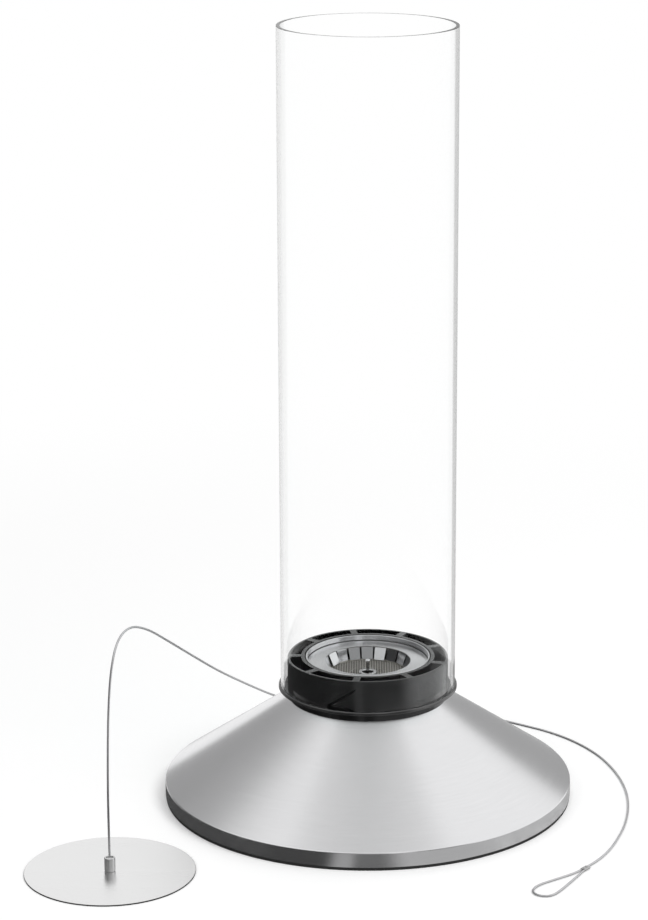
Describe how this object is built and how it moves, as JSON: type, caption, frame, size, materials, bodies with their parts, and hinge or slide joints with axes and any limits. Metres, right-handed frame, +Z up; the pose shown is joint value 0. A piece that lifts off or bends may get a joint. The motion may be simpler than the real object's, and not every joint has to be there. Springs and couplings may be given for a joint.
{
  "type": "tabletop fireplace",
  "caption": "Tabletop ethanol fireplace: tall open glass chimney on a black air guide and brushed steel cone, with a lift-out burner and a snuffer disc on a wire rope.",
  "frame": {"origin": "on the chimney's axis, at the level of the table that the rubber feet and the snuffer disc stand on", "axes": "+Z up along the chimney, -Y towards the picture's camera, +X to its right"},
  "size_m": [0.4052, 0.3789, 0.534],
  "materials": {
    "brushed_steel": "spun and brushed stainless steel",
    "black_enamel": "semi-gloss black coating",
    "seal_rubber": "matt black rubber",
    "silicone": "dark silicone",
    "clear_glass": "clear heat-proof glass",
    "zinc_steel": "zinc plated steel",
    "burner_steel": "satin pressed stainless steel",
    "polished_steel": "polished turned steel",
    "mesh_steel": "woven stainless wire cloth",
    "ceramic_wool": "compressed ceramic fibre",
    "float_foam": "closed-cell nitrile foam",
    "snuffer_steel": "brushed stainless sheet",
    "wire_rope": "stainless wire rope",
    "crimp_metal": "pressed aluminium sleeve"
  },
  "bodies": {
    "base": {"base_cone": "brushed_steel", "rubber_feet": "seal_rubber", "neck_collar": "black_enamel", "retaining_ring": "zinc_steel", "retaining_screws": "zinc_steel", "air_guide": "black_enamel", "glass_gasket": "silicone"},
    "chimney": {"glass_tube": "clear_glass"},
    "burner": {"burner_can": "burner_steel", "burner_lid": "burner_steel", "mouth_crown": "burner_steel", "wick_mesh": "mesh_steel", "filler_eyelet": "polished_steel", "float_cage": "burner_steel", "fuel_wool": "ceramic_wool"},
    "gauge": {"level_pin": "polished_steel", "gauge_float": "float_foam", "float_clip": "zinc_steel"},
    "snuffer": {"snuffer_disc": "snuffer_steel", "snuffer_ferrule": "polished_steel", "snuffer_screw": "zinc_steel", "snuffer_rope": "wire_rope", "rope_eye": "wire_rope", "rope_crimp": "crimp_metal"}
  },
  "joints": [
    {"name": "chimney_lift", "type": "slide", "parent": "base", "child": "chimney", "axis": [0, 0, 1], "range_m": [0, 0.12]},
    {"name": "burner_lift", "type": "slide", "parent": "base", "child": "burner", "axis": [0, 0, 1], "range_m": [0, 0.08]},
    {"name": "gauge_drop", "type": "slide", "parent": "burner", "child": "gauge", "axis": [0, 0, 1], "range_m": [-0.008, 0]},
    {"name": "snuffer_lift", "type": "slide", "parent": "base", "child": "snuffer", "axis": [0, 0, 1], "range_m": [0, 0.12]}
  ]
}
